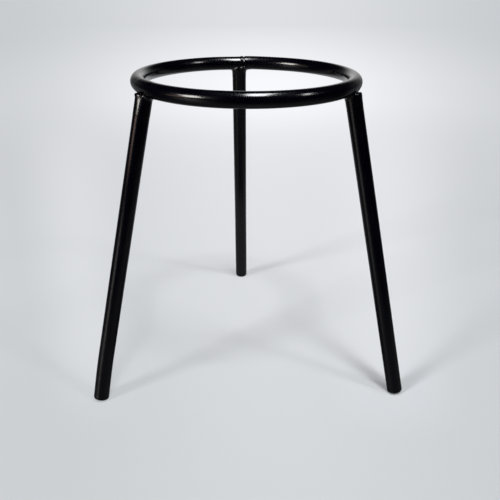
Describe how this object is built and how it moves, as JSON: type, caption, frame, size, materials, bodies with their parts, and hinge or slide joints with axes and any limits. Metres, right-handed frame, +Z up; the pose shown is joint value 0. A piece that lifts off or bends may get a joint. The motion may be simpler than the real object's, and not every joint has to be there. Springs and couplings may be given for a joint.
{
  "type": "lab tripod stand",
  "caption": "Welded wire-rod tripod: a round ring on splayed legs that holds a vessel or gauze above a burner on a lab bench.",
  "frame": {"origin": "on the ring's vertical axis, at the level of the bench that the feet stand on", "axes": "+Z up along the ring's axis; +Y towards the back leg, whose foot is on the Y axis; +X to the right seen from the front"},
  "size_m": [0.1416, 0.1293, 0.1382],
  "materials": {
    "enamelled_rod": "gloss black enamel on drawn steel rod",
    "enamelled_weld": "gloss black enamel over weld metal"
  },
  "bodies": {
    "root": {"ring": "enamelled_rod", "leg_left": "enamelled_rod", "leg_right": "enamelled_rod", "leg_back": "enamelled_rod", "weld_left": "enamelled_weld", "weld_right": "enamelled_weld", "weld_back": "enamelled_weld", "weld_ring_seam": "enamelled_weld"}
  },
  "joints": []
}
